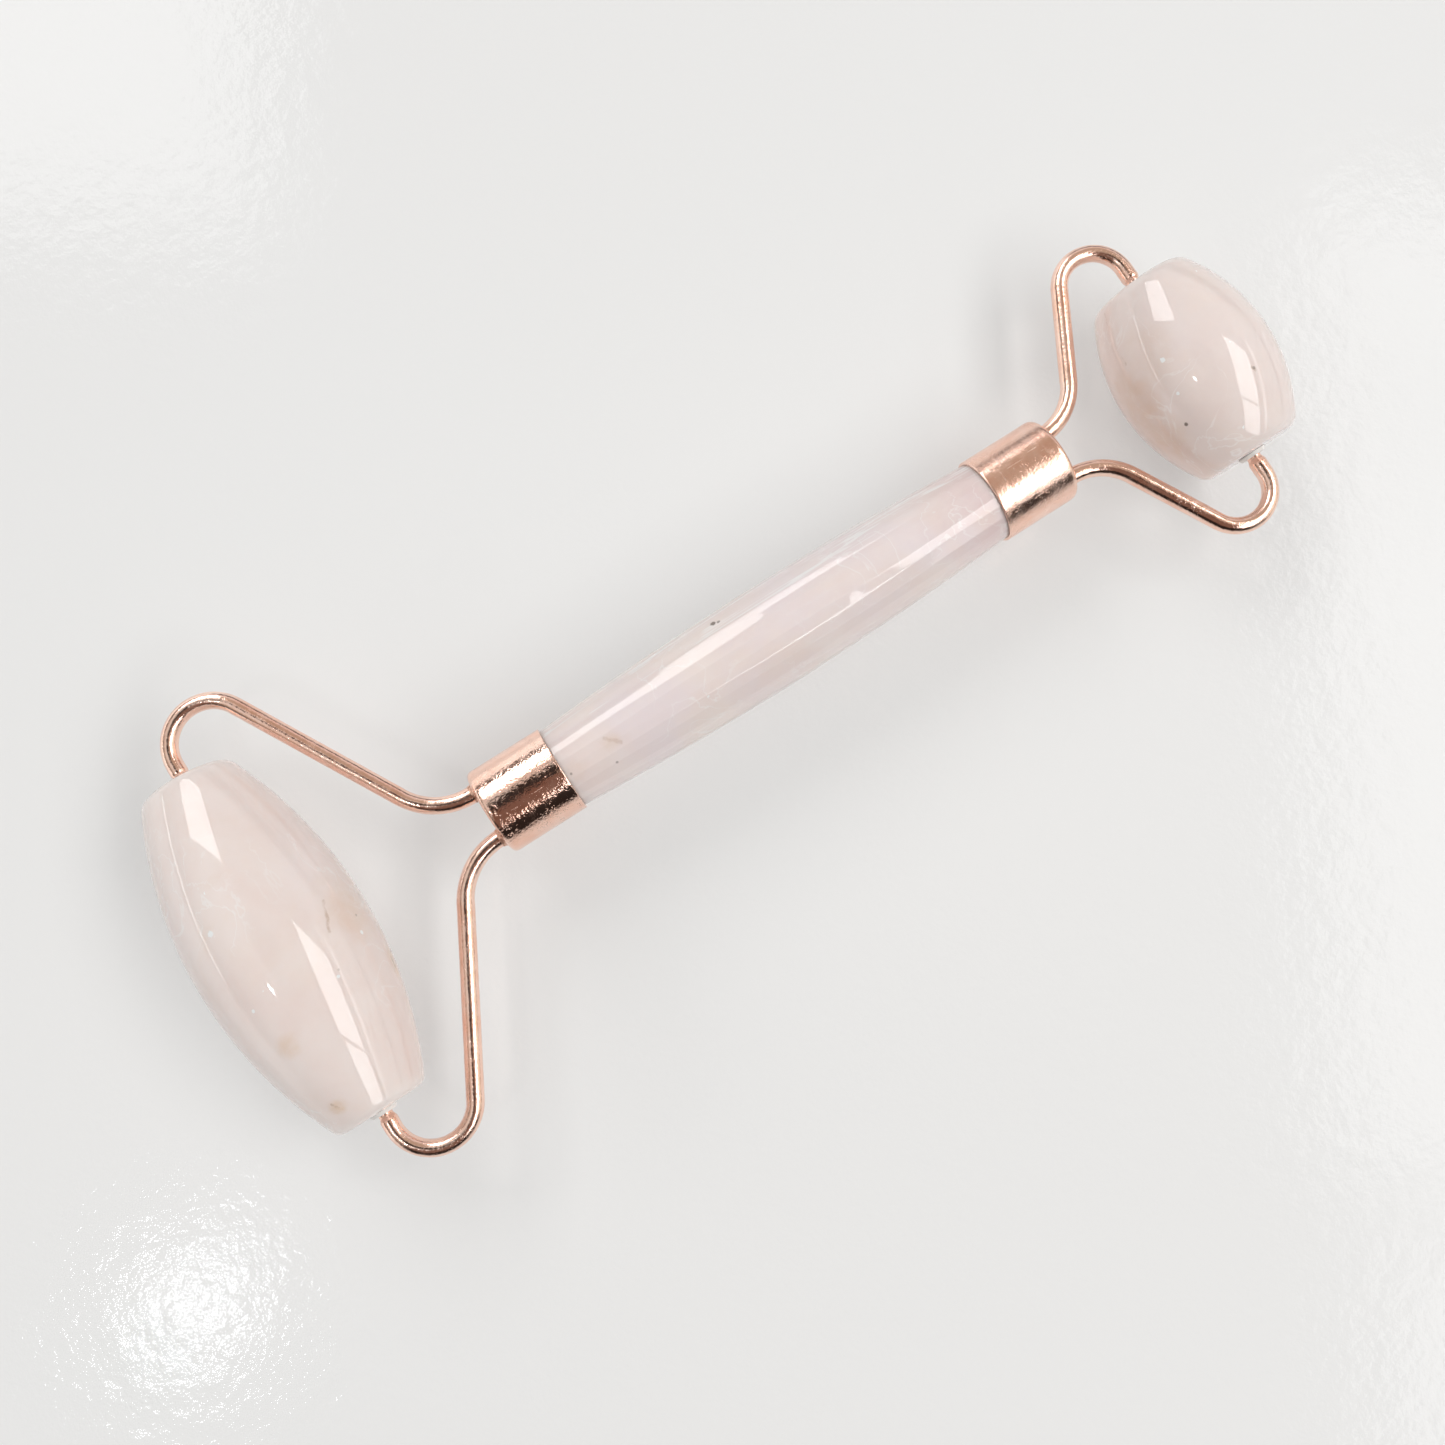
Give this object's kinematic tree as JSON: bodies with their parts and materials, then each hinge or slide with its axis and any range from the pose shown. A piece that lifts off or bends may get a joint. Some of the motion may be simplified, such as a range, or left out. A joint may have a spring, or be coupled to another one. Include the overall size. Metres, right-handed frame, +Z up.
{
  "type": "face roller",
  "caption": "Hand-held face roller: a stone handle with a wire fork at each end, each fork holding a barrel-shaped stone that spins on its pins.",
  "frame": {"origin": "on the table, under the middle of the object's length and width, as it lies on both stones", "axes": "+X along the handle from the large stone to the small one, +Y along the stones' axles, +Z up"},
  "size_m": [0.1448, 0.0596, 0.0203],
  "materials": {
    "rose_quartz": "polished, cloudy and slightly translucent",
    "rose_gold": "polished rose-gold plate",
    "braze": "plated over, satin",
    "nylon": "natural white",
    "epoxy": "clear, set"
  },
  "bodies": {
    "frame": {"handle": "rose_quartz", "large_ferrule": "rose_gold", "small_ferrule": "rose_gold", "large_glue": "epoxy", "small_glue": "epoxy", "large_arm_left": "rose_gold", "large_arm_right": "rose_gold", "small_arm_left": "rose_gold", "small_arm_right": "rose_gold", "large_arm_left_braze": "braze", "large_arm_right_braze": "braze", "small_arm_left_braze": "braze", "small_arm_right_braze": "braze"},
    "large_stone": {"large_roller": "rose_quartz", "large_bush_left": "nylon", "large_bush_right": "nylon"},
    "small_stone": {"small_roller": "rose_quartz", "small_bush_left": "nylon", "small_bush_right": "nylon"}
  },
  "joints": [
    {"name": "large_roller_spin", "type": "hinge", "parent": "frame", "child": "large_stone", "pos_m": [-0.06225, 0, 0.01017], "axis": [0, 1, 0], "continuous": true},
    {"name": "small_roller_spin", "type": "hinge", "parent": "frame", "child": "small_stone", "pos_m": [0.06305, 0, 0.00937], "axis": [0, 1, 0], "continuous": true}
  ]
}
